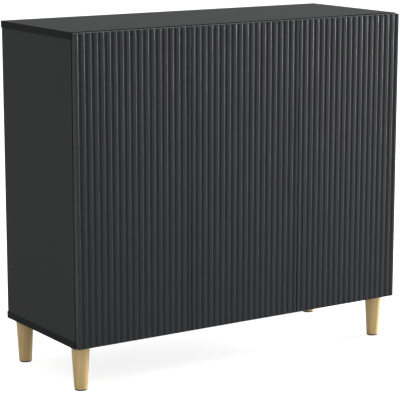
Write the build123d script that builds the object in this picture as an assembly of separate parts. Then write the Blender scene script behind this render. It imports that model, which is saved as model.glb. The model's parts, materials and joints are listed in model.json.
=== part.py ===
from build123d import *
import math
import os

# Ribbed three-door sideboard on four turned legs. Millimetres, +Z up.
# The origin is on the floor, in the middle of the plan. The doors face -Y and +X is to the right.

# Driving dimensions
WIDTH = 1040.0
DEPTH = 400.0
HEIGHT = 937.0
LEG_HEIGHT = 120.0
BOARD = 18.0
DOOR_THICK = 16.0
DOOR_REVEAL = 2.0
DOOR_GAP = 3.0
DOOR_COUNT = 3
BAND = 1.0
BACK_THICK = 3.0
SHELF_THICK = 16.0

# Outer planes of the case
X_END = WIDTH / 2
Y_CREST = -DEPTH / 2
Y_DOOR_BACK = Y_CREST + DOOR_THICK
Y_FRONT = Y_DOOR_BACK + DOOR_REVEAL
Y_BACK = DEPTH / 2
Y_BACK_INNER = Y_BACK - BACK_THICK
Z_UNDER = LEG_HEIGHT
Z_FLOOR = Z_UNDER + BOARD
Z_CEILING = HEIGHT - BOARD

# Ends of the case: each side panel stands one edge band inside the top and the bottom
X_SIDE_OUT = X_END - BAND
X_SIDE_IN = X_SIDE_OUT - BOARD

# Doors, from the left: two over the wide bay and one over the narrow bay
DOOR_WIDTH = (WIDTH - 2 * DOOR_REVEAL - (DOOR_COUNT - 1) * DOOR_GAP) / DOOR_COUNT
DOOR_BOTTOM = Z_UNDER + DOOR_REVEAL
DOOR_TOP = HEIGHT - DOOR_REVEAL
DOOR_NAMES = ["left", "middle", "right"]
DOOR_LEFT_EDGES = [
    -X_END + DOOR_REVEAL + i * (DOOR_WIDTH + DOOR_GAP) for i in range(DOOR_COUNT)
]

# The divider stands behind the gap between the middle and the right door
X_DIVIDER = DOOR_LEFT_EDGES[2] - DOOR_GAP / 2
DIVIDER_LEFT = X_DIVIDER - BOARD / 2
DIVIDER_RIGHT = X_DIVIDER + BOARD / 2

# Ribs of a door: coves with rounded shoulders, milled from top to bottom
RIB_PITCH = 18.72
COVE_COUNT = 18
COVE_FIRST = 12.67
COVE_RADIUS = 4.2
COVE_DEPTH = 3.0
SHOULDER_RADIUS = 2.6
ARRIS_RADIUS = 2.5
SIDE_ARRIS_RADIUS = 0.8

# Cup hinges. A door's turning axis lies inside its hinge edge, behind its crest plane.
AXIS_IN = 6.0
AXIS_BACK = 3.0
HINGE_FROM_END = 100.0
HINGE_HEIGHTS = [DOOR_BOTTOM + HINGE_FROM_END, DOOR_TOP - HINGE_FROM_END]
CUP_IN = 22.5
CUP_RADIUS = 17.5
CUP_DEPTH = 11.0
CUP_WALL = 1.0
FLANGE = 1.2
CUP_SCREW_APART = 22.5
CUP_TAB_HALF = 6.5
CUP_TAB_REACH = 28.0
MOUTH_SPARE = 1.0
LINK_PIVOT_IN = 44.0
LINK_PIVOT_BACK = 22.5
LINK_TIP_IN = 17.5
LINK_TIP_BACK = 11.0
LINK_THICK = 6.4
LINK_BAR_WIDTH = 4.4
LINK_EYE_RADIUS = 3.2
LINK_TIP_RADIUS = 2.2
PIN_RADIUS = 1.5
PIN_PLAY = 0.05
CHEEK_INNER = 3.7
CHEEK_OUTER = 6.2
NOSE_RADIUS = 3.8
ARM_WEB_THICK = 2.0
ARM_CHEEK_DEPTH = 6.0
ARM_HEEL_DEPTH = 11.0
ARM_BASE_FRONT = 46.0
ARM_HEEL_FRONT = 52.0
ARM_WEB_FRONT = 50.0
ARM_BACK = 90.0
ARM_LOCK_SCREW_BACK = 78.0
ARM_LOCK_SCREW_RADIUS = 3.2
ARM_LOCK_SCREW_HEAD = 2.2
ARM_SIDE_SCREW_BACK = 60.0
ARM_SIDE_SCREW_RADIUS = 2.4
ARM_SIDE_SCREW_HEAD = 1.6
PLATE_RISE = 6.0
PLATE_WING = 2.5
PLATE_HALF_DEPTH = 8.0
PLATE_HALF_HEIGHT = 24.0
PLATE_SADDLE_REACH = 34.0
PLATE_Y = Y_FRONT + 37.0
PLATE_SCREW_APART = 16.0
PLATE_SCREW_DEEP = 12.0
PLATE_SCREW_RADIUS = 2.0
CUP_SCREW_RADIUS = 1.7
CUP_SCREW_DEEP = 9.0
SCREW_HEAD_RADIUS = 3.4
SCREW_HEAD_THICK = 2.0

# Push latches under the top panel, near the free edge of each door
LATCH_FROM_EDGE = 25.0
LATCH_HALF = 6.5
LATCH_DROP = 14.0
LATCH_FRONT = Y_FRONT + 2.0
LATCH_LENGTH = 56.0
PLUNGER_RADIUS = 3.5
PLUNGER_PLAY = 0.1
PLUNGER_TRAVEL = 3.0
PLUNGER_BORE_DEPTH = 42.0
PLUNGER_END_SPARE = 1.0
PLUNGER_TIP_GAP = 0.4
STRIKE_RADIUS = 7.0
STRIKE_THICK = 1.0

# Legs
LEG_X = X_END - 34.0
LEG_Y_FRONT = Y_FRONT + 32.0
LEG_Y_BACK = Y_BACK - 38.0
LEG_TOP_RADIUS = 24.5
LEG_FOOT_RADIUS = 17.5
LEG_FOOT_CHAMFER = 1.5
GLIDE_RADIUS = 16.5
GLIDE_THICK = 3.0
LEG_BOLT_RADIUS = 4.0
LEG_BOLT_LOW = LEG_HEIGHT - 28.0
LEG_BOLT_HIGH = LEG_HEIGHT + 13.0
INSERT_RADIUS = 6.5
INSERT_DEPTH = 14.0

# Flat-pack joints between the upright panels and the top and bottom
CAM_RADIUS = 7.5
CAM_DEPTH = 13.0
CAM_FROM_END = 34.0
CAM_YS = [-130.0, 130.0]
CAM_BOLT_RADIUS = 3.5
CAM_BOLT_IN_CAM = 2.0
CAM_SLOT_REACH = 1.2 * CAM_RADIUS
CAM_CROSS_DEPTH = 1.5
CAM_CROSS_HALF_LENGTH = 4.0
CAM_CROSS_HALF_WIDTH = 0.9
CAM_THREAD_RADIUS = 2.5
CAM_THREAD_LENGTH = 11.0
CAM_COVER_RADIUS = 9.0
CAM_COVER_THICK = 1.2
DOWEL_RADIUS = 4.0
DOWEL_IN_BOARD = 12.0
DOWEL_LENGTH = 30.0
DOWEL_YS = [-98.0, 98.0]

# Shelves and their pins
SHELF_FRONT = Y_FRONT + 22.0
SHELF_BACK = Y_BACK_INNER - 4.0
SHELF_SIDE_PLAY = 1.0
SHELF_COUNT = 2
PIN_HOLE_RADIUS = 2.5
PIN_HOLE_DEPTH = 8.0
PIN_TONGUE = 8.0
PIN_TONGUE_HALF = 3.0
PIN_TONGUE_THICK = 2.0
PIN_SHAFT_OUT = 2.0
PIN_COLLAR_RADIUS = 3.5
PIN_COLLAR_THICK = 1.0
PIN_COLLAR_DROP = 1.0
PIN_YS = [SHELF_FRONT + 37.0, SHELF_BACK - 37.0]

# Back panels
BACK_INSET = 2.0
BACK_JOINT = 1.0
NAIL_SHAFT = 0.8
NAIL_HEAD = 2.2
NAIL_LENGTH = 20.0
NAIL_HEAD_THICK = 0.8
NAIL_INSET = 7.0
NAIL_ROWS = 8
NAIL_FROM_DIVIDER = BOARD / 4

# Small shapes


def block(x0, x1, y0, y1, z0, z1):
    """A box between three pairs of planes."""
    centre = ((x0 + x1) / 2, (y0 + y1) / 2, (z0 + z1) / 2)
    return Pos(*centre) * Box(abs(x1 - x0), abs(y1 - y0), abs(z1 - z0))


def rod_x(x0, x1, y, z, radius):
    """A round rod along X."""
    return Pos((x0 + x1) / 2, y, z) * Rot(0, 90, 0) * Cylinder(radius, abs(x1 - x0))


def rod_y(x, y0, y1, z, radius):
    """A round rod along Y."""
    return Pos(x, (y0 + y1) / 2, z) * Rot(90, 0, 0) * Cylinder(radius, abs(y1 - y0))


def rod_z(x, y, z0, z1, radius):
    """A round rod along Z."""
    return Pos(x, y, (z0 + z1) / 2) * Cylinder(radius, abs(z1 - z0))


def save(name, shapes):
    """Writes one node, made of one solid or of a group of separate solids."""
    solids = [solid for shape in shapes for solid in shape.solids()]
    whole = solids[0] if len(solids) == 1 else Compound(children=solids)
    export_step(whole, "parts/" + name + ".step")


# Case


def uprights():
    """Each upright panel's name, left face, right face and the faces that carry cams."""
    return [
        ("left_side_panel", -X_SIDE_OUT, -X_SIDE_IN, 1),
        ("divider_panel", DIVIDER_LEFT, DIVIDER_RIGHT, 1),
        ("right_side_panel", X_SIDE_IN, X_SIDE_OUT, -1),
    ]


def cam_places():
    """Yields x of the cam's face, its direction, x of the panel's middle, y, end z and sign."""
    for _, left, right, facing in uprights():
        face = right if facing > 0 else left
        for y in CAM_YS:
            yield face, facing, (left + right) / 2, y, Z_CEILING, 1
            yield face, facing, (left + right) / 2, y, Z_FLOOR, -1


def dowel_places():
    """Yields x, y, end z and the sign of the way out of the upright's end."""
    for _, left, right, _ in uprights():
        for y in DOWEL_YS:
            yield (left + right) / 2, y, Z_CEILING, 1
            yield (left + right) / 2, y, Z_FLOOR, -1


def shelf_levels():
    """Heights of the shelves' undersides, which divide the inside evenly."""
    space = (Z_CEILING - Z_FLOOR - SHELF_COUNT * SHELF_THICK) / (SHELF_COUNT + 1)
    return [Z_FLOOR + (i + 1) * space + i * SHELF_THICK for i in range(SHELF_COUNT)]


def bays():
    """Each bay's name, left and right inner face."""
    return [
        ("wide", -X_SIDE_IN, DIVIDER_LEFT),
        ("narrow", DIVIDER_RIGHT, X_SIDE_IN),
    ]


def shelf_pin_places():
    """Yields x of the panel's face, the way into the bay, y and the shelf's underside."""
    for _, left, right in bays():
        for level in shelf_levels():
            for y in PIN_YS:
                yield left, 1, y, level
                yield right, -1, y, level


def cam_bore(face, facing, middle, y, end, sign):
    """The cam's pocket and the bolt's hole in an upright."""
    z = end - sign * CAM_FROM_END
    pocket = rod_x(face, face - facing * CAM_DEPTH, y, z, CAM_RADIUS)
    return [pocket, rod_z(middle, y, z, end, CAM_BOLT_RADIUS)]


def hinge_sides():
    """Each door's name, hinge edge, the way from that edge into the door, and panel face."""
    left, middle, right = DOOR_LEFT_EDGES
    return [
        ("left", left, 1, -X_SIDE_IN),
        ("middle", middle + DOOR_WIDTH, -1, DIVIDER_LEFT),
        ("right", right + DOOR_WIDTH, -1, X_SIDE_IN),
    ]


def plate_screw_places():
    """Yields the panel face, the way into the bay, y and z of each hinge plate screw."""
    for _, _, way, face in hinge_sides():
        for z in HINGE_HEIGHTS:
            for offset in (-PLATE_SCREW_APART, PLATE_SCREW_APART):
                yield face, way, PLATE_Y, z + offset


def make_uprights():
    """The two sides and the divider, with every bore that a fastener fills."""
    tools = []
    for place in cam_places():
        tools += cam_bore(*place)
    for x, y, end, sign in dowel_places():
        depth = DOWEL_LENGTH - DOWEL_IN_BOARD
        tools.append(rod_z(x, y, end - sign * depth, end, DOWEL_RADIUS))
    for face, way, y, level in shelf_pin_places():
        z = level - PIN_HOLE_RADIUS
        tools.append(rod_x(face - way * PIN_HOLE_DEPTH, face, y, z, PIN_HOLE_RADIUS))
    for face, way, y, z in plate_screw_places():
        tools.append(rod_x(face - way * PLATE_SCREW_DEEP, face, y, z, PLATE_SCREW_RADIUS))
    for x, z in nail_places():
        tools.append(rod_y(x, Y_BACK - NAIL_LENGTH, Y_BACK_INNER, z, NAIL_SHAFT))
    for name, left, right, _ in uprights():
        panel = block(left, right, Y_FRONT + BAND, Y_BACK_INNER, Z_FLOOR, Z_CEILING)
        near = [tool for tool in tools if left - 1 < tool.center().X < right + 1]
        save(name, [panel - near])


def make_horizontal_panels():
    """The top and the bottom, which cap the uprights."""
    dowels_up, bolts_up, dowels_down, bolts_down = [], [], [], []
    for x, y, end, sign in dowel_places():
        hole = rod_z(x, y, end, end + sign * DOWEL_IN_BOARD, DOWEL_RADIUS)
        (dowels_up if sign > 0 else dowels_down).append(hole)
    for _, _, x, y, end, sign in cam_places():
        hole = rod_z(x, y, end, end + sign * CAM_THREAD_LENGTH, CAM_THREAD_RADIUS)
        (bolts_up if sign > 0 else bolts_down).append(hole)
    inserts = [
        rod_z(x, y, Z_UNDER, Z_UNDER + INSERT_DEPTH, INSERT_RADIUS)
        for _, x, y in leg_places()
    ]
    core = (-X_SIDE_OUT, X_SIDE_OUT, Y_FRONT + BAND, Y_BACK)
    top = block(*core, Z_CEILING, HEIGHT)
    bottom = block(*core, Z_UNDER, Z_FLOOR)
    save("top_panel", [top - (dowels_up + bolts_up)])
    save("bottom_panel", [bottom - (dowels_down + bolts_down + inserts)])


def make_edge_bands():
    """Bands on the visible edges of the top, the bottom, the uprights and the shelves."""
    for name, low, high in (
        ("top_edge_bands", Z_CEILING, HEIGHT),
        ("bottom_edge_bands", Z_UNDER, Z_FLOOR),
    ):
        front = block(-X_SIDE_OUT, X_SIDE_OUT, Y_FRONT, Y_FRONT + BAND, low, high)
        left = block(-X_END, -X_SIDE_OUT, Y_FRONT, Y_BACK, low, high)
        right = block(X_SIDE_OUT, X_END, Y_FRONT, Y_BACK, low, high)
        save(name, [front, left, right])
    strips = [
        block(left, right, Y_FRONT, Y_FRONT + BAND, Z_FLOOR, Z_CEILING)
        for _, left, right, _ in uprights()
    ]
    save("upright_edge_bands", strips)


def nail_places():
    """Yields x and z of each nail, along the back edges of the uprights."""
    x_end = X_SIDE_OUT - BACK_INSET - NAIL_INSET
    step = (Z_CEILING - Z_FLOOR) / NAIL_ROWS
    for x in (-x_end, X_DIVIDER - NAIL_FROM_DIVIDER, X_DIVIDER + NAIL_FROM_DIVIDER, x_end):
        for i in range(NAIL_ROWS):
            yield x, Z_FLOOR + (i + 0.5) * step


def make_back():
    """Two thin back panels that meet behind the divider, and their nails."""
    x_end = X_SIDE_OUT - BACK_INSET
    spans = [
        ("back_panel_wide", -x_end, X_DIVIDER - BACK_JOINT / 2),
        ("back_panel_narrow", X_DIVIDER + BACK_JOINT / 2, x_end),
    ]
    nails = []
    for x, z in nail_places():
        shaft = rod_y(x, Y_BACK - NAIL_LENGTH, Y_BACK, z, NAIL_SHAFT)
        nails.append(shaft + rod_y(x, Y_BACK - NAIL_HEAD_THICK, Y_BACK, z, NAIL_HEAD))
    for name, left, right in spans:
        panel = block(left, right, Y_BACK_INNER, Y_BACK, Z_FLOOR, Z_CEILING)
        near = [nail for nail in nails if left < nail.center().X < right]
        save(name, [panel - near])
    save("back_nails", nails)


def make_fasteners():
    """Cams, cam bolts, covers and dowels of the twelve corner joints."""
    cams, bolts, covers, dowels = [], [], [], []
    for face, facing, middle, y, end, sign in cam_places():
        z = end - sign * CAM_FROM_END
        cam = rod_x(face, face - facing * CAM_DEPTH, y, z, CAM_RADIUS)
        bolt_end = z - sign * CAM_BOLT_IN_CAM
        slot = rod_z(middle, y, bolt_end, z + sign * CAM_SLOT_REACH, CAM_BOLT_RADIUS)
        cross = block(
            face - facing * CAM_CROSS_DEPTH,
            face,
            y - CAM_CROSS_HALF_LENGTH,
            y + CAM_CROSS_HALF_LENGTH,
            z - CAM_CROSS_HALF_WIDTH,
            z + CAM_CROSS_HALF_WIDTH,
        )
        cams.append(cam - slot - cross)
        shaft = rod_z(middle, y, bolt_end, end, CAM_BOLT_RADIUS)
        thread = rod_z(middle, y, end, end + sign * CAM_THREAD_LENGTH, CAM_THREAD_RADIUS)
        bolts.append(shaft + thread)
        cover = rod_x(face, face + facing * CAM_COVER_THICK, y, z, CAM_COVER_RADIUS)
        covers.append(cover)
    for x, y, end, sign in dowel_places():
        tip = end + sign * DOWEL_IN_BOARD
        dowels.append(rod_z(x, y, tip - sign * DOWEL_LENGTH, tip, DOWEL_RADIUS))
    save("cam_locks", cams)
    save("cam_bolts", bolts)
    save("cam_covers", covers)
    save("corner_dowels", dowels)


def make_shelves():
    """Two loose shelves in each bay, their front bands and their pins."""
    bands = []
    for bay, left, right in bays():
        for place, level in zip(("lower", "upper"), shelf_levels()):
            x0, x1 = left + SHELF_SIDE_PLAY, right - SHELF_SIDE_PLAY
            top = level + SHELF_THICK
            save(
                "shelf_" + bay + "_" + place,
                [block(x0, x1, SHELF_FRONT + BAND, SHELF_BACK, level, top)],
            )
            bands.append(block(x0, x1, SHELF_FRONT, SHELF_FRONT + BAND, level, top))
    pins = []
    for face, way, y, level in shelf_pin_places():
        z = level - PIN_HOLE_RADIUS
        shaft_end = face + way * PIN_SHAFT_OUT
        shaft = rod_x(face - way * PIN_HOLE_DEPTH, shaft_end, y, z, PIN_HOLE_RADIUS)
        tongue = block(
            face,
            face + way * PIN_TONGUE,
            y - PIN_TONGUE_HALF,
            y + PIN_TONGUE_HALF,
            level - PIN_TONGUE_THICK,
            level,
        )
        collar_end = face + way * PIN_COLLAR_THICK
        collar = rod_x(face, collar_end, y, z - PIN_COLLAR_DROP, PIN_COLLAR_RADIUS)
        pins.append(shaft + tongue + collar)
    save("shelf_edge_bands", bands)
    save("shelf_pins", pins)


# Doors


def rib_outline(x0):
    """A door's plan outline: flat back, eased sides and the row of coves."""
    x1 = x0 + DOOR_WIDTH
    rise = COVE_RADIUS - COVE_DEPTH
    reach = math.sqrt(
        (COVE_RADIUS + SHOULDER_RADIUS) ** 2 - (SHOULDER_RADIUS + rise) ** 2
    )
    share = COVE_RADIUS / (COVE_RADIUS + SHOULDER_RADIUS)
    join_x = reach * share
    join_y = Y_CREST - rise + (SHOULDER_RADIUS + rise) * share
    lean = math.asin(join_x / COVE_RADIUS)
    half_x = SHOULDER_RADIUS * math.sin(lean / 2)
    half_y = Y_CREST + SHOULDER_RADIUS * (1 - math.cos(lean / 2))
    corner = SIDE_ARRIS_RADIUS * (1 - math.cos(math.pi / 4))

    edges = []
    pen = (x0 + SIDE_ARRIS_RADIUS, Y_CREST)
    for i in range(COVE_COUNT):
        middle = x0 + COVE_FIRST + i * RIB_PITCH
        start = (middle - reach, Y_CREST)
        left = (middle - join_x, join_y)
        right = (middle + join_x, join_y)
        end = (middle + reach, Y_CREST)
        edges.append(Line(pen, start))
        edges.append(ThreePointArc(start, (middle - reach + half_x, half_y), left))
        edges.append(ThreePointArc(left, (middle, Y_CREST + COVE_DEPTH), right))
        edges.append(ThreePointArc(right, (middle + reach - half_x, half_y), end))
        pen = end
    edges.append(Line(pen, (x1 - SIDE_ARRIS_RADIUS, Y_CREST)))
    edges.append(
        ThreePointArc(
            (x1 - SIDE_ARRIS_RADIUS, Y_CREST),
            (x1 - corner, Y_CREST + corner),
            (x1, Y_CREST + SIDE_ARRIS_RADIUS),
        )
    )
    edges.append(Line((x1, Y_CREST + SIDE_ARRIS_RADIUS), (x1, Y_DOOR_BACK)))
    edges.append(Line((x1, Y_DOOR_BACK), (x0, Y_DOOR_BACK)))
    edges.append(Line((x0, Y_DOOR_BACK), (x0, Y_CREST + SIDE_ARRIS_RADIUS)))
    edges.append(
        ThreePointArc(
            (x0, Y_CREST + SIDE_ARRIS_RADIUS),
            (x0 + corner, Y_CREST + corner),
            (x0 + SIDE_ARRIS_RADIUS, Y_CREST),
        )
    )
    return make_face(edges)


def door_slab(x0):
    """A ribbed slab whose top and bottom arrises are rounded as well."""
    height = DOOR_TOP - DOOR_BOTTOM
    slab = Pos(0, 0, DOOR_BOTTOM) * extrude(rib_outline(x0), height)
    spare = 2.0
    for edge_z, sign in ((DOOR_TOP, -1), (DOOR_BOTTOM, 1)):
        centre_z = edge_z + sign * ARRIS_RADIUS
        waste = block(
            x0 - spare,
            x0 + DOOR_WIDTH + spare,
            Y_CREST - spare,
            Y_CREST + ARRIS_RADIUS,
            centre_z,
            edge_z - sign * spare,
        )
        keep = rod_x(
            x0 - 2 * spare,
            x0 + DOOR_WIDTH + 2 * spare,
            Y_CREST + ARRIS_RADIUS,
            centre_z,
            ARRIS_RADIUS,
        )
        slab = slab - (waste - keep)
    return slab


def hinge_x(edge, way, inward):
    """The x of a point that lies some way in from a door's hinge edge."""
    return edge + way * inward


def make_doors():
    """The doors, with the pockets of their hinge cups and screws."""
    for (name, edge, way, _), x0 in zip(hinge_sides(), DOOR_LEFT_EDGES):
        door = door_slab(x0)
        x = hinge_x(edge, way, CUP_IN)
        for z in HINGE_HEIGHTS:
            door = door - rod_y(x, Y_DOOR_BACK - CUP_DEPTH, Y_DOOR_BACK, z, CUP_RADIUS)
            for side in (-1, 1):
                at = z + side * CUP_SCREW_APART
                door = door - rod_y(x, Y_DOOR_BACK - CUP_SCREW_DEEP, Y_DOOR_BACK, at, CUP_SCREW_RADIUS)
        save("door_" + name, [door])


def make_hinge_cups():
    """The pressed cups and the screws that hold them, riding with each door."""
    for name, edge, way, _ in hinge_sides():
        x = hinge_x(edge, way, CUP_IN)
        rim = Y_DOOR_BACK + FLANGE
        cups, screws = [], []
        for z in HINGE_HEIGHTS:
            bowl = rod_y(x, Y_DOOR_BACK - CUP_DEPTH, rim, z, CUP_RADIUS)
            ring = rod_y(x, Y_DOOR_BACK, rim, z, CUP_RADIUS + CUP_WALL)
            tab = block(
                x - CUP_TAB_HALF,
                x + CUP_TAB_HALF,
                Y_DOOR_BACK,
                rim,
                z - CUP_TAB_REACH,
                z + CUP_TAB_REACH,
            )
            cup_floor = Y_DOOR_BACK - CUP_DEPTH + CUP_WALL
            hollow = rod_y(x, cup_floor, rim + MOUTH_SPARE, z, CUP_RADIUS - CUP_WALL)
            cup = bowl + ring + tab - hollow
            for side in (-1, 1):
                at = z + side * CUP_SCREW_APART
                cup = cup - rod_y(x, Y_DOOR_BACK, rim, at, SCREW_HEAD_RADIUS)
                shaft = rod_y(x, Y_DOOR_BACK - CUP_SCREW_DEEP, Y_DOOR_BACK, at, CUP_SCREW_RADIUS)
                screws.append(shaft + rod_y(x, Y_DOOR_BACK, rim, at, SCREW_HEAD_RADIUS))
            cups.append(cup)
        save("hinge_cups_" + name, cups)
        save("cup_screws_" + name, screws)


def arm_outline(edge, way, face):
    """One cheek of a hinge arm, in plan, from the plate to the nose."""
    base = abs(face - edge) + PLATE_RISE
    nose_in, nose_back = LINK_PIVOT_IN, LINK_PIVOT_BACK
    corners = [
        (nose_in + NOSE_RADIUS, nose_back),
        (base + ARM_HEEL_DEPTH, ARM_HEEL_FRONT),
        (base + ARM_CHEEK_DEPTH, ARM_BACK),
        (base, ARM_BACK),
        (base, ARM_BASE_FRONT),
        (nose_in - NOSE_RADIUS, nose_back),
    ]
    points = [(hinge_x(edge, way, u), Y_CREST + v) for u, v in corners]
    nose = Pos(hinge_x(edge, way, nose_in), Y_CREST + nose_back) * Circle(NOSE_RADIUS)
    return make_face(Polyline(*points, close=True)) + nose


def make_hinge_arms():
    """The arms, plates, pins and screws that stay on the case."""
    arms, plates, pins, plate_screws, arm_screws = [], [], [], [], []
    for _, edge, way, face in hinge_sides():
        base = abs(face - edge) + PLATE_RISE
        pin_x = hinge_x(edge, way, LINK_PIVOT_IN)
        pin_y = Y_CREST + LINK_PIVOT_BACK
        for z in HINGE_HEIGHTS:
            cheek = extrude(arm_outline(edge, way, face), CHEEK_OUTER - CHEEK_INNER)
            web = block(
                hinge_x(edge, way, base),
                hinge_x(edge, way, base + ARM_WEB_THICK),
                Y_CREST + ARM_WEB_FRONT,
                Y_CREST + ARM_BACK,
                z - CHEEK_OUTER,
                z + CHEEK_OUTER,
            )
            upper = Pos(0, 0, z + CHEEK_INNER) * cheek
            lower = Pos(0, 0, z - CHEEK_OUTER) * cheek
            pin = rod_z(pin_x, pin_y, z - CHEEK_OUTER, z + CHEEK_OUTER, PIN_RADIUS)
            arms.append(upper + lower + web - pin)
            pins.append(pin)
            wing = block(
                face,
                face + way * PLATE_WING,
                PLATE_Y - PLATE_HALF_DEPTH,
                PLATE_Y + PLATE_HALF_DEPTH,
                z - PLATE_HALF_HEIGHT,
                z + PLATE_HALF_HEIGHT,
            )
            saddle = block(
                face,
                face + way * PLATE_RISE,
                PLATE_Y - PLATE_HALF_DEPTH,
                PLATE_Y + PLATE_SADDLE_REACH,
                z - CHEEK_OUTER,
                z + CHEEK_OUTER,
            )
            plate = wing + saddle
            for side in (-1, 1):
                at = z + side * PLATE_SCREW_APART
                hole = rod_x(face, face + way * PLATE_WING, PLATE_Y, at, PLATE_SCREW_RADIUS)
                plate = plate - hole
                shaft = rod_x(
                    face - way * PLATE_SCREW_DEEP,
                    face + way * PLATE_WING,
                    PLATE_Y,
                    at,
                    PLATE_SCREW_RADIUS,
                )
                head = rod_x(
                    face + way * PLATE_WING,
                    face + way * (PLATE_WING + SCREW_HEAD_THICK),
                    PLATE_Y,
                    at,
                    SCREW_HEAD_RADIUS,
                )
                plate_screws.append(shaft + head)
            plates.append(plate)
            top = hinge_x(edge, way, base + ARM_WEB_THICK)
            for back, head, radius in (
                (ARM_LOCK_SCREW_BACK, ARM_LOCK_SCREW_HEAD, ARM_LOCK_SCREW_RADIUS),
                (ARM_SIDE_SCREW_BACK, ARM_SIDE_SCREW_HEAD, ARM_SIDE_SCREW_RADIUS),
            ):
                arm_screws.append(rod_x(top, top + way * head, Y_CREST + back, z, radius))
    save("hinge_arms", arms)
    save("hinge_plates", plates)
    save("hinge_pins", pins)
    save("hinge_plate_screws", plate_screws)
    save("hinge_arm_screws", arm_screws)


def make_hinge_links():
    """One link per hinge, on the arm's pin, with its far end inside the cup."""
    for name, edge, way, _ in hinge_sides():
        start = (hinge_x(edge, way, LINK_PIVOT_IN), Y_CREST + LINK_PIVOT_BACK)
        end = (hinge_x(edge, way, LINK_TIP_IN), Y_CREST + LINK_TIP_BACK)
        length = math.dist(start, end)
        angle = math.degrees(math.atan2(end[1] - start[1], end[0] - start[0]))
        links = []
        for z in HINGE_HEIGHTS:
            bar = Pos(length / 2, 0) * Rectangle(length, LINK_BAR_WIDTH)
            flat = bar + Circle(LINK_EYE_RADIUS) + Pos(length, 0) * Circle(LINK_TIP_RADIUS)
            flat = flat - Circle(PIN_RADIUS + PIN_PLAY)
            link = extrude(flat, LINK_THICK)
            place = Pos(start[0], start[1], z - LINK_THICK / 2) * Rot(0, 0, angle)
            links.append(place * link)
        save("hinge_links_" + name, links)


# Push latches


def latch_places():
    """Each door's name and the x of its latch, near the edge away from the hinges."""
    for (name, _, way, _), x0 in zip(hinge_sides(), DOOR_LEFT_EDGES):
        free = x0 + DOOR_WIDTH if way > 0 else x0
        yield name, free - way * LATCH_FROM_EDGE


def make_latches():
    """Latch bodies under the top, their sprung plungers and the doors' strike plates."""
    z = Z_CEILING - LATCH_DROP / 2
    bodies = []
    tip = Y_DOOR_BACK + STRIKE_THICK + PLUNGER_TIP_GAP
    bore_end = LATCH_FRONT + PLUNGER_BORE_DEPTH
    plunger_end = bore_end - PLUNGER_TRAVEL - PLUNGER_END_SPARE
    for name, x in latch_places():
        body = block(
            x - LATCH_HALF,
            x + LATCH_HALF,
            LATCH_FRONT,
            LATCH_FRONT + LATCH_LENGTH,
            Z_CEILING - LATCH_DROP,
            Z_CEILING,
        )
        bore = rod_y(x, LATCH_FRONT, bore_end, z, PLUNGER_RADIUS + PLUNGER_PLAY)
        bodies.append(body - bore)
        plunger = rod_y(x, tip, plunger_end, z, PLUNGER_RADIUS)
        save("latch_plunger_" + name, [plunger])
        strike = rod_y(x, Y_DOOR_BACK, Y_DOOR_BACK + STRIKE_THICK, z, STRIKE_RADIUS)
        save("strike_plate_" + name, [strike])
    save("latch_bodies", bodies)


# Legs


def leg_places():
    """Each leg's name and place."""
    return [
        ("front_left", -LEG_X, LEG_Y_FRONT),
        ("front_right", LEG_X, LEG_Y_FRONT),
        ("rear_left", -LEG_X, LEG_Y_BACK),
        ("rear_right", LEG_X, LEG_Y_BACK),
    ]


def make_legs():
    """Turned tapered legs, with their bolts, threaded inserts and glides."""
    bolts, inserts, glides = [], [], []
    length = LEG_HEIGHT - GLIDE_THICK
    for name, x, y in leg_places():
        place = Pos(x, y, GLIDE_THICK + length / 2)
        leg = place * Cone(LEG_FOOT_RADIUS, LEG_TOP_RADIUS, length)
        foot_edge = leg.edges().sort_by(Axis.Z)[0]
        leg = chamfer(foot_edge, LEG_FOOT_CHAMFER)
        leg = leg - rod_z(x, y, LEG_BOLT_LOW, LEG_HEIGHT, LEG_BOLT_RADIUS)
        save("leg_" + name, [leg])
        bolt = rod_z(x, y, LEG_BOLT_LOW, LEG_BOLT_HIGH, LEG_BOLT_RADIUS)
        bolts.append(bolt)
        insert = rod_z(x, y, Z_UNDER, Z_UNDER + INSERT_DEPTH, INSERT_RADIUS)
        inserts.append(insert - bolt)
        glides.append(rod_z(x, y, 0.0, GLIDE_THICK, GLIDE_RADIUS))
    save("leg_bolts", bolts)
    save("leg_inserts", inserts)
    save("foot_glides", glides)


os.makedirs("parts", exist_ok=True)
make_uprights()
make_horizontal_panels()
make_edge_bands()
make_back()
make_fasteners()
make_shelves()
make_doors()
make_hinge_cups()
make_hinge_arms()
make_hinge_links()
make_latches()
make_legs()
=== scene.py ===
"""Looks of the ribbed three-door sideboard: materials, room, light and camera."""

import json
import math

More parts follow.
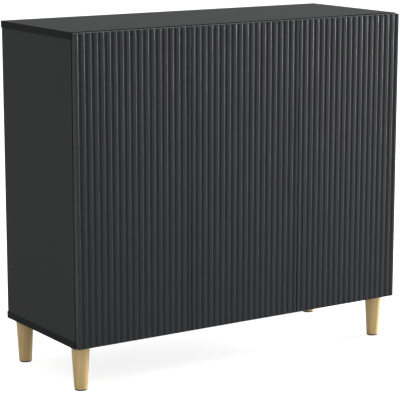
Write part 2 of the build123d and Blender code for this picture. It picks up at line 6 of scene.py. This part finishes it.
import bmesh
import bpy
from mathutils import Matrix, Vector

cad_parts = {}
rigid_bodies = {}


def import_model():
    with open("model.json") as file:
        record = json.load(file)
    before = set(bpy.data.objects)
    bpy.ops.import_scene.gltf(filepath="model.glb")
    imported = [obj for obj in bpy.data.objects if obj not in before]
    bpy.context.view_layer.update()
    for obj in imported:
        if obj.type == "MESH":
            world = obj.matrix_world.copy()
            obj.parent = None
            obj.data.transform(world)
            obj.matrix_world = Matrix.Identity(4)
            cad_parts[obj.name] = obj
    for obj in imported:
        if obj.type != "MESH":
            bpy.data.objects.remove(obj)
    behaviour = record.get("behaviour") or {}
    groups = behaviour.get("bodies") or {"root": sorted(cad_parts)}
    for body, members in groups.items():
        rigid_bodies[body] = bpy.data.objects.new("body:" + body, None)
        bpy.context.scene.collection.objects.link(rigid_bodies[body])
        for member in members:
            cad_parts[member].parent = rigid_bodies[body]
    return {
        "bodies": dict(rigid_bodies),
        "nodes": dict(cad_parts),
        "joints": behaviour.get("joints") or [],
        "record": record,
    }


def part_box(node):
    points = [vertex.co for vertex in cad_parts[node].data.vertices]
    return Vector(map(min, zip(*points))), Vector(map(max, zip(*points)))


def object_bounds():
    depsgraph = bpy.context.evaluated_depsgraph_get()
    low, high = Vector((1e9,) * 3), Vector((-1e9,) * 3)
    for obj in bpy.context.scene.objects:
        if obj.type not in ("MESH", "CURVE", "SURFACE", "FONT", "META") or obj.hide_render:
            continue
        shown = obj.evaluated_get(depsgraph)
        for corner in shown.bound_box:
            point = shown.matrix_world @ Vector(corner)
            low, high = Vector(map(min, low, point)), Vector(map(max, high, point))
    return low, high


MM = 0.001
RIGHT_ANGLE = 90.0
WHITE = (1.0, 1.0, 1.0)
OPAQUE = 1.0

# Camera, in metres, degrees and millimetres
CAMERA_PLACE = (-2.5764, -3.9118, 1.3531)
CAMERA_DIP = 11.19
CAMERA_TURN = 33.2
CAMERA_LENS = 154.1
SENSOR_WIDTH = 36.0

# Floor. It glows for the camera only.
FLOOR_HALF_SIZE = 60.0
FLOOR_CELLS = 24
FLOOR_COLOUR = (0.52, 0.52, 0.52)
FLOOR_GLOW = 0.78
FLOOR_DARK = 0.995
FLOOR_LIGHT = 1.005

# Room light below and above, and what the camera sees behind the piece
HORIZON_LIGHT = 0.66
CEILING_LIGHT = 1.0
BACKDROP_LIGHT = 1.1

# Soft box, in metres and watts
KEY_PLACE = (7.0, -0.55, 1.7)
KEY_TARGET = (0.0, -0.2, 1.7)
KEY_WIDTH = 2.2
KEY_HEIGHT = 3.2
KEY_POWER = 1800.0

# Finishes, as linear colours
BOARD_COLOUR = (0.0425, 0.0450, 0.0435)
BAND_COLOUR = (0.0178, 0.0188, 0.0182)
FOIL_COLOUR = (0.0114, 0.0124, 0.0148)
WOOD_LIGHT = (0.66, 0.47, 0.205)
WOOD_DARK = (0.51, 0.345, 0.13)
BEECH_LIGHT = (0.60, 0.42, 0.24)
BEECH_DARK = (0.44, 0.29, 0.15)
FIBRE_LIGHT = (0.26, 0.165, 0.085)
FIBRE_DARK = (0.17, 0.10, 0.048)
LACQUER = (0.024, 0.0245, 0.026)
NICKEL = (0.62, 0.61, 0.59)
ZINC = (0.52, 0.54, 0.57)
GREY_PLASTIC = (0.33, 0.34, 0.35)
BLACK_PLASTIC = (0.018, 0.018, 0.019)
FELT = (0.055, 0.052, 0.05)

# Roughness of each finish, and the specular level or coat where it isn't the usual one
BOARD_ROUGHNESS = 0.62
BOARD_SPECULAR = 0.015
BAND_ROUGHNESS = 0.5
BAND_SPECULAR = 0.02
FOIL_ROUGHNESS = 0.36
FOIL_SPECULAR = 0.34
LEG_ROUGHNESS = 0.42
LEG_COAT = 0.6
BEECH_ROUGHNESS = 0.6
BEECH_COAT = 0.0
COAT_ROUGHNESS = 0.28
LACQUER_ROUGHNESS = 0.48
FIBRE_ROUGHNESS = 0.68
FIBRE_SPECULAR = 0.35
NICKEL_ROUGHNESS = 0.3
NICKEL_SCRATCHES = 0.25
ZINC_ROUGHNESS = 0.42
ZINC_SCRATCHES = 0.3
GREY_ROUGHNESS = 0.45
BLACK_ROUGHNESS = 0.5
FELT_ROUGHNESS = (0.88, 1.0)
FELT_SHEEN = 0.4

# Grain of the textures
BOARD_PEARLS = 900.0
BOARD_CLOUD = {"per_metre": 7.0, "detail": 4.0}
BOARD_SMEAR = {"per_metre": 16.0, "detail": 5.0, "rough": 0.6, "stretch": (1.0, 1.0, 2.5)}
FOIL_CLOUD = {"per_metre": 5.0, "detail": 3.0}
FOIL_FIBRE = {"per_metre": 420.0, "detail": 3.0, "rough": 0.6, "stretch": (1.0, 1.0, 0.06)}
FOIL_SMEAR = {"per_metre": 22.0, "detail": 5.0, "rough": 0.6, "stretch": (1.0, 1.0, 0.5)}
FOIL_PEEL = {"per_metre": 260.0, "detail": 2.0}
WOOD_DRIFT = {"per_metre": 38.0, "detail": 3.0, "rough": 0.55, "stretch": (1.0, 1.0, 0.12)}
WOOD_PORES = {"per_metre": 900.0, "detail": 3.0, "rough": 0.6, "stretch": (1.0, 1.0, 0.05)}
WOOD_RINGS = {"Scale": 42.0, "Distortion": 5.5, "Detail": 3.0, "Detail Scale": 1.6}
WOOD_RINGS_STRETCH = (1.0, 0.7, 0.05)
FIBRE_MESH = {"per_metre": 340.0, "detail": 5.0, "rough": 0.7, "warp": 0.8}
FIBRE_CLOUD = {"per_metre": 9.0, "detail": 4.0}
FIBRE_FLECK = {"per_metre": 1500.0, "detail": 2.0, "rough": 0.6, "stretch": (1.0, 1.0, 0.35)}
METAL_BRUSHING = {"per_metre": 260.0, "detail": 3.0, "rough": 0.6, "stretch": (1.0, 1.0, 12.0)}
METAL_CLOUD = {"per_metre": 120.0, "detail": 4.0, "rough": 0.6}
PLASTIC_SPARKS = {"per_metre": 1600.0, "detail": 2.0, "rough": 0.7}
PLASTIC_CLOUD = {"per_metre": 60.0, "detail": 3.0}
FELT_TANGLE = {"per_metre": 1300.0, "detail": 5.0, "rough": 0.75, "warp": 1.5}
WEAR_PATCH = {"per_metre": 55.0, "detail": 4.0, "rough": 0.6}
FLOOR_CLOUD = {"per_metre": 0.8, "detail": 2.0}

# How much a texture lightens or darkens the colour under it
BOARD_TONES = {"dark": 0.97, "light": 1.03, "speck": 1.25, "worn": 2.2}
FOIL_TONES = {"dark": 0.95, "light": 1.06, "streak": 1.3, "worn": 1.7}
PORE_TONE = 0.72
FIBRE_TONES = {"cloud": 0.8, "fleck": 1.3}
LACQUER_TONES = {"dark": 0.9, "light": 1.1}
METAL_TONES = {"dark": 0.82, "light": 1.08}
PLASTIC_TONES = {"dark": 0.9, "light": 1.12}
FELT_TONES = {"dark": 0.7, "light": 1.5}

# Strength of a texture at its low and its high end, and the two values of it at which
# those are reached
BOARD_SPECKS = (0.0, 0.5, 0.1, 0.9)
FOIL_STREAKS = (0.0, 0.35, 0.45, 0.8)
WOOD_DRIFTS = (-0.15, 0.4, 0.3, 0.7)
WOOD_PORE_MARKS = (0.0, 0.55, 0.56, 0.8)
WOOD_RING_SHARE = 0.55
FIBRE_CLOUDS = (0.0, 0.35, 0.35, 0.75)
FIBRE_FLECKS = (0.0, 0.6, 0.6, 0.8)
WEAR_PATCHES = (0.0, 1.0, 0.42, 0.62)

# Change of roughness at a texture's low and high end, and the values at which it is reached
BOARD_GLOSS = (-0.02, 0.03, 0.3, 0.7)
FOIL_GLOSS = (-0.01, 0.01, 0.3, 0.7)
WOOD_GLOSS = (-0.05, 0.12, 0.3, 0.8)
METAL_GLOSS = (-0.07, 0.12, 0.25, 0.75)
PLASTIC_GLOSS = (-0.06, 0.08, 0.3, 0.7)
FIBRE_GLOSS = (-0.04, 0.06)

# Rubbed edges: how far in they reach, how strongly they show and what they add to roughness
BOARD_WEAR_MM = 3.0
BOARD_WEAR_SHARE = 0.5
BOARD_WEAR_ROUGH = 0.12
FOIL_WEAR_MM = 3.5
FOIL_WEAR_SHARE = 0.25
FOIL_WEAR_ROUGH = 0.1

# Where the hardboard's lacquered side turns to bare fibre, from its back face
BARE_FROM_MM = 0.6
BARE_TO_MM = 0.8

# Relief: strength and depth in millimetres
BOARD_RELIEF = (0.35, 0.05)
FOIL_PEEL_RELIEF = (0.05, 0.01)
FOIL_FIBRE_RELIEF = (0.03, 0.005)
WOOD_RELIEF = (0.25, 0.06)
FIBRE_RELIEF = (0.35, 0.08)
METAL_RELIEF_MM = 0.02
PLASTIC_RELIEF = (0.3, 0.03)
FELT_RELIEF = (0.6, 0.25)


# Node helpers


def new_material(name):
    """An empty node material, its tree and its Principled shader."""
    material = bpy.data.materials.new(name)
    material.use_nodes = True
    tree = material.node_tree
    tree.nodes.clear()
    out = tree.nodes.new("ShaderNodeOutputMaterial")
    shader = tree.nodes.new("ShaderNodeBsdfPrincipled")
    tree.links.new(shader.outputs["BSDF"], out.inputs["Surface"])
    return material, tree, shader


def place(tree, stretch=(1.0, 1.0, 1.0)):
    """The point on the object in metres, each axis multiplied by its stretch."""
    source = tree.nodes.new("ShaderNodeTexCoord")
    mapping = tree.nodes.new("ShaderNodeMapping")
    mapping.inputs["Scale"].default_value = stretch
    tree.links.new(source.outputs["Object"], mapping.inputs["Vector"])
    return mapping.outputs["Vector"]


def noise(tree, per_metre, detail, rough=0.5, warp=0.0, stretch=(1.0, 1.0, 1.0)):
    """Cloudy noise of so many cells a metre."""
    node = tree.nodes.new("ShaderNodeTexNoise")
    node.inputs["Scale"].default_value = per_metre
    node.inputs["Detail"].default_value = detail
    node.inputs["Roughness"].default_value = rough
    node.inputs["Distortion"].default_value = warp
    tree.links.new(place(tree, stretch), node.inputs["Vector"])
    return node.outputs["Fac"]


def pearls(tree, per_metre):
    """Distance to the nearest of many scattered points."""
    node = tree.nodes.new("ShaderNodeTexVoronoi")
    node.inputs["Scale"].default_value = per_metre
    tree.links.new(place(tree), node.inputs["Vector"])
    return node.outputs["Distance"]


def span(tree, value, low, high, from_low=0.0, from_high=1.0):
    """Maps a value from one range onto another, and stops at its ends."""
    node = tree.nodes.new("ShaderNodeMapRange")
    node.inputs["From Min"].default_value = from_low
    node.inputs["From Max"].default_value = from_high
    node.inputs["To Min"].default_value = low
    node.inputs["To Max"].default_value = high
    tree.links.new(value, node.inputs["Value"])
    return node.outputs["Result"]


def calculate(tree, operation, *values):
    """A Math node. Each value is a number or another node's output."""
    node = tree.nodes.new("ShaderNodeMath")
    node.operation = operation
    for socket, value in zip(node.inputs, values):
        if isinstance(value, (int, float)):
            socket.default_value = value
        else:
            tree.links.new(value, socket)
    return node.outputs["Value"]


def blend(tree, share, first, second):
    """A colour between two colours. Each is a linear colour or another node's output."""
    node = tree.nodes.new("ShaderNodeMix")
    node.data_type = "RGBA"
    tree.links.new(share, node.inputs["Factor"])
    for key, value in (("A", first), ("B", second)):
        socket = [s for s in node.inputs if s.name == key and s.type == "RGBA"][0]
        if isinstance(value, tuple):
            socket.default_value = (*value, OPAQUE)
        else:
            tree.links.new(value, socket)
    return [s for s in node.outputs if s.type == "RGBA"][0]


def shade(colour, factor):
    """A colour made lighter or darker."""
    return tuple(channel * factor for channel in colour)


def split_place(tree):
    """The x, y and z of the point on the object."""
    split = tree.nodes.new("ShaderNodeSeparateXYZ")
    tree.links.new(place(tree), split.inputs["Vector"])
    return split.outputs


def colour_by(tree, shader, colour):
    """Gives the shader its colour from a node."""
    tree.links.new(colour, shader.inputs["Base Color"])


def roughen_by(tree, shader, roughness):
    """Gives the shader its roughness from a node."""
    tree.links.new(roughness, shader.inputs["Roughness"])


def gloss(tree, texture, roughness, change):
    """Roughness that varies a little with a texture."""
    low, high, from_low, from_high = change
    return span(tree, texture, roughness + low, roughness + high, from_low, from_high)


def bump(tree, shader, height, strength, depth_mm, under=None):
    """Adds relief of so many millimetres."""
    node = tree.nodes.new("ShaderNodeBump")
    node.inputs["Strength"].default_value = strength
    node.inputs["Distance"].default_value = depth_mm * MM
    tree.links.new(height, node.inputs["Height"])
    if under is not None:
        tree.links.new(under, node.inputs["Normal"])
    tree.links.new(node.outputs["Normal"], shader.inputs["Normal"])
    return node.outputs["Normal"]


def edge_wear(tree, low, high, reach_mm):
    """One along the edges of a box, falling to nothing within the reach, in patches."""
    point = split_place(tree)
    gaps = []
    for axis in range(3):
        from_low = calculate(tree, "SUBTRACT", point[axis], low[axis])
        from_high = calculate(tree, "SUBTRACT", high[axis], point[axis])
        gaps.append(calculate(tree, "MINIMUM", from_low, from_high))
    least = calculate(tree, "MINIMUM", gaps[0], gaps[1])
    most = calculate(tree, "MAXIMUM", gaps[0], gaps[1])
    second = calculate(tree, "MAXIMUM", least, calculate(tree, "MINIMUM", most, gaps[2]))
    near = span(tree, second, 1.0, 0.0, 0.0, reach_mm * MM)
    patches = span(tree, noise(tree, **WEAR_PATCH), *WEAR_PATCHES)
    return calculate(tree, "MULTIPLY", near, patches)


# Materials


def laminate(name, colour, low, high, roughness, specular):
    """Melamine-faced board: a fine pearl grain, faint clouds and rubbed edges."""
    material, tree, shader = new_material(name)
    dark, light, speck, worn = (shade(colour, tone) for tone in BOARD_TONES.values())
    grain = pearls(tree, BOARD_PEARLS)
    wear = edge_wear(tree, low, high, BOARD_WEAR_MM)
    tone = blend(tree, noise(tree, **BOARD_CLOUD), dark, light)
    tone = blend(tree, span(tree, grain, *BOARD_SPECKS), tone, speck)
    rubbed = calculate(tree, "MULTIPLY", wear, BOARD_WEAR_SHARE)
    colour_by(tree, shader, blend(tree, rubbed, tone, worn))
    base = gloss(tree, noise(tree, **BOARD_SMEAR), roughness, BOARD_GLOSS)
    duller = calculate(tree, "MULTIPLY", wear, BOARD_WEAR_ROUGH)
    roughen_by(tree, shader, calculate(tree, "ADD", base, duller))
    shader.inputs["Specular IOR Level"].default_value = specular
    bump(tree, shader, grain, *BOARD_RELIEF)
    return material


def foil(name, colour, low, high, roughness, specular):
    """Foil pressed over the milled ribs: satin, slightly uneven, rubbed at the edges."""
    material, tree, shader = new_material(name)
    dark, light, streak, worn = (shade(colour, tone) for tone in FOIL_TONES.values())
    wear = edge_wear(tree, low, high, FOIL_WEAR_MM)
    fibre = noise(tree, **FOIL_FIBRE)
    tone = blend(tree, noise(tree, **FOIL_CLOUD), dark, light)
    tone = blend(tree, span(tree, fibre, *FOIL_STREAKS), tone, streak)
    rubbed = calculate(tree, "MULTIPLY", wear, FOIL_WEAR_SHARE)
    colour_by(tree, shader, blend(tree, rubbed, tone, worn))
    base = gloss(tree, noise(tree, **FOIL_SMEAR), roughness, FOIL_GLOSS)
    duller = calculate(tree, "MULTIPLY", wear, FOIL_WEAR_ROUGH)
    roughen_by(tree, shader, calculate(tree, "ADD", base, duller))
    shader.inputs["Specular IOR Level"].default_value = specular
    peel = bump(tree, shader, noise(tree, **FOIL_PEEL), *FOIL_PEEL_RELIEF)
    bump(tree, shader, fibre, *FOIL_FIBRE_RELIEF, peel)
    return material


def wood(name, light, dark, roughness, coat):
    """Turned wood: rings drawn along the height, fine pores and a thin lacquer."""
    material, tree, shader = new_material(name)
    drift = noise(tree, **WOOD_DRIFT)
    rings = tree.nodes.new("ShaderNodeTexWave")
    rings.bands_direction = "X"
    for setting, value in WOOD_RINGS.items():
        rings.inputs[setting].default_value = value
    tree.links.new(place(tree, WOOD_RINGS_STRETCH), rings.inputs["Vector"])
    pores = noise(tree, **WOOD_PORES)
    grain = calculate(tree, "MULTIPLY", rings.outputs["Fac"], WOOD_RING_SHARE)
    share = calculate(tree, "ADD", grain, span(tree, drift, *WOOD_DRIFTS))
    tone = blend(tree, share, light, dark)
    deep = span(tree, pores, *WOOD_PORE_MARKS)
    colour_by(tree, shader, blend(tree, deep, tone, shade(dark, PORE_TONE)))
    roughen_by(tree, shader, gloss(tree, pores, roughness, WOOD_GLOSS))
    shader.inputs["Coat Weight"].default_value = coat
    shader.inputs["Coat Roughness"].default_value = COAT_ROUGHNESS
    bump(tree, shader, pores, *WOOD_RELIEF)
    return material


def fibreboard(name, low):
    """Thin hardboard: bare brown fibre behind, dark lacquer on the side that faces in."""
    material, tree, shader = new_material(name)
    y_axis = 1
    bare_from = low[y_axis] + BARE_FROM_MM * MM
    bare_to = low[y_axis] + BARE_TO_MM * MM
    bare = span(tree, split_place(tree)[y_axis], 0.0, 1.0, bare_from, bare_to)
    mesh = noise(tree, **FIBRE_MESH)
    cloud = noise(tree, **FIBRE_CLOUD)
    fleck = noise(tree, **FIBRE_FLECK)
    tone = blend(tree, mesh, FIBRE_DARK, FIBRE_LIGHT)
    darker = shade(FIBRE_DARK, FIBRE_TONES["cloud"])
    lighter = shade(FIBRE_LIGHT, FIBRE_TONES["fleck"])
    tone = blend(tree, span(tree, cloud, *FIBRE_CLOUDS), tone, darker)
    tone = blend(tree, span(tree, fleck, *FIBRE_FLECKS), tone, lighter)
    dark, light = (shade(LACQUER, factor) for factor in LACQUER_TONES.values())
    inner = blend(tree, cloud, dark, light)
    colour_by(tree, shader, blend(tree, bare, inner, tone))
    base = span(tree, bare, LACQUER_ROUGHNESS, FIBRE_ROUGHNESS)
    roughen_by(tree, shader, calculate(tree, "ADD", base, span(tree, mesh, *FIBRE_GLOSS)))
    shader.inputs["Specular IOR Level"].default_value = FIBRE_SPECULAR
    bump(tree, shader, mesh, *FIBRE_RELIEF)
    return material


def metal(name, colour, roughness, scratches):
    """Plated pressed steel: fine brushing and a cloudy plating."""
    material, tree, shader = new_material(name)
    dark, light = (shade(colour, tone) for tone in METAL_TONES.values())
    brushed = noise(tree, **METAL_BRUSHING)
    colour_by(tree, shader, blend(tree, noise(tree, **METAL_CLOUD), dark, light))
    roughen_by(tree, shader, gloss(tree, brushed, roughness, METAL_GLOSS))
    shader.inputs["Metallic"].default_value = 1.0
    bump(tree, shader, brushed, scratches, METAL_RELIEF_MM)
    return material


def plastic(name, colour, roughness):
    """Moulded plastic with a fine spark-eroded texture."""
    material, tree, shader = new_material(name)
    dark, light = (shade(colour, tone) for tone in PLASTIC_TONES.values())
    texture = noise(tree, **PLASTIC_SPARKS)
    colour_by(tree, shader, blend(tree, noise(tree, **PLASTIC_CLOUD), dark, light))
    roughen_by(tree, shader, gloss(tree, texture, roughness, PLASTIC_GLOSS))
    bump(tree, shader, texture, *PLASTIC_RELIEF)
    return material


def felt(name, colour):
    """Pressed felt: tangled fibre with a soft sheen."""
    material, tree, shader = new_material(name)
    dark, light = (shade(colour, tone) for tone in FELT_TONES.values())
    fibre = noise(tree, **FELT_TANGLE)
    colour_by(tree, shader, blend(tree, fibre, dark, light))
    roughen_by(tree, shader, span(tree, fibre, *FELT_ROUGHNESS))
    shader.inputs["Sheen Weight"].default_value = FELT_SHEEN
    bump(tree, shader, fibre, *FELT_RELIEF)
    return material


def dress_nodes(frame, low, high):
    """Gives every CAD node the material of its slot."""
    case_low = Vector((low.x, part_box("top_panel")[0].y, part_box("bottom_panel")[0].z))
    back_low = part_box("back_panel_wide")[0]
    made = {
        "carcass_board": laminate(
            "board", BOARD_COLOUR, case_low, high, BOARD_ROUGHNESS, BOARD_SPECULAR
        ),
        "edge_band": laminate(
            "band", BAND_COLOUR, case_low, high, BAND_ROUGHNESS, BAND_SPECULAR
        ),
        "leg_wood": wood("leg_wood", WOOD_LIGHT, WOOD_DARK, LEG_ROUGHNESS, LEG_COAT),
        "beech": wood("dowel_beech", BEECH_LIGHT, BEECH_DARK, BEECH_ROUGHNESS, BEECH_COAT),
        "hardboard": fibreboard("hardboard", back_low),
        "nickel_steel": metal("nickel_steel", NICKEL, NICKEL_ROUGHNESS, NICKEL_SCRATCHES),
        "zinc": metal("zinc", ZINC, ZINC_ROUGHNESS, ZINC_SCRATCHES),
        "grey_plastic": plastic("grey_plastic", GREY_PLASTIC, GREY_ROUGHNESS),
        "black_plastic": plastic("black_plastic", BLACK_PLASTIC, BLACK_ROUGHNESS),
        "felt": felt("felt", FELT),
    }
    slots = {part["node"]: part["material_slot"] for part in frame["record"]["subparts"]}
    for node, thing in frame["nodes"].items():
        slot = slots[node]
        if slot == "door_foil":
            door_low, door_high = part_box(node)
            material = foil(
                "foil_" + node, FOIL_COLOUR, door_low, door_high, FOIL_ROUGHNESS, FOIL_SPECULAR
            )
        else:
            material = made[slot]
        for holder in thing.material_slots:
            holder.material = material


# Room, light and camera


def make_floor():
    """A wide pale floor."""
    mesh = bmesh.new()
    bmesh.ops.create_grid(
        mesh, x_segments=FLOOR_CELLS, y_segments=FLOOR_CELLS, size=FLOOR_HALF_SIZE
    )
    data = bpy.data.meshes.new("floor")
    mesh.to_mesh(data)
    mesh.free()
    floor = bpy.data.objects.new("floor", data)
    bpy.context.scene.collection.objects.link(floor)
    material, tree, shader = new_material("floor_paint")
    dark, light = shade(FLOOR_COLOUR, FLOOR_DARK), shade(FLOOR_COLOUR, FLOOR_LIGHT)
    colour_by(tree, shader, blend(tree, noise(tree, **FLOOR_CLOUD), dark, light))
    shader.inputs["Roughness"].default_value = 1.0
    shader.inputs["Specular IOR Level"].default_value = 0.0
    shader.inputs["Emission Color"].default_value = (*WHITE, OPAQUE)
    rays = tree.nodes.new("ShaderNodeLightPath")
    glow = span(tree, rays.outputs["Is Camera Ray"], 0.0, FLOOR_GLOW)
    tree.links.new(glow, shader.inputs["Emission Strength"])
    data.materials.append(material)


def make_room():
    """White light from all round, stronger from above, and a white backdrop."""
    world = bpy.data.worlds.new("room")
    world.use_nodes = True
    tree = world.node_tree
    background = tree.nodes["Background"]
    background.inputs["Color"].default_value = (*WHITE, OPAQUE)
    source = tree.nodes.new("ShaderNodeTexCoord")
    split = tree.nodes.new("ShaderNodeSeparateXYZ")
    tree.links.new(source.outputs["Generated"], split.inputs["Vector"])
    height = span(tree, split.outputs["Z"], HORIZON_LIGHT, CEILING_LIGHT)
    rays = tree.nodes.new("ShaderNodeLightPath")
    seen = calculate(tree, "MULTIPLY", rays.outputs["Is Camera Ray"], BACKDROP_LIGHT)
    strength = calculate(tree, "MAXIMUM", height, seen)
    tree.links.new(strength, background.inputs["Strength"])
    bpy.context.scene.world = world


def make_soft_box():
    """One tall soft box far out on the right, which the ribs reflect."""
    data = bpy.data.lights.new("soft_box", "AREA")
    data.shape = "RECTANGLE"
    data.size = KEY_WIDTH
    data.size_y = KEY_HEIGHT
    data.energy = KEY_POWER
    lamp = bpy.data.objects.new("soft_box", data)
    lamp.location = KEY_PLACE
    aim = Vector(KEY_TARGET) - Vector(KEY_PLACE)
    lamp.rotation_euler = aim.to_track_quat("-Z", "Y").to_euler()
    lamp.visible_camera = False
    bpy.context.scene.collection.objects.link(lamp)


def make_camera():
    """The camera, in front of the left door and above the top, with plain colours."""
    data = bpy.data.cameras.new("camera")
    data.lens = CAMERA_LENS
    data.sensor_width = SENSOR_WIDTH
    data.clip_end = 2.0 * FLOOR_HALF_SIZE
    camera = bpy.data.objects.new("camera", data)
    camera.location = CAMERA_PLACE
    tilt = math.radians(RIGHT_ANGLE - CAMERA_DIP)
    camera.rotation_euler = (tilt, 0.0, math.radians(-CAMERA_TURN))
    scene = bpy.context.scene
    scene.collection.objects.link(camera)
    scene.camera = camera
    scene.view_settings.view_transform = "Standard"
    scene.view_settings.look = "None"


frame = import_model()
cad_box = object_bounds()
dress_nodes(frame, *cad_box)
make_floor()
make_room()
make_soft_box()
make_camera()
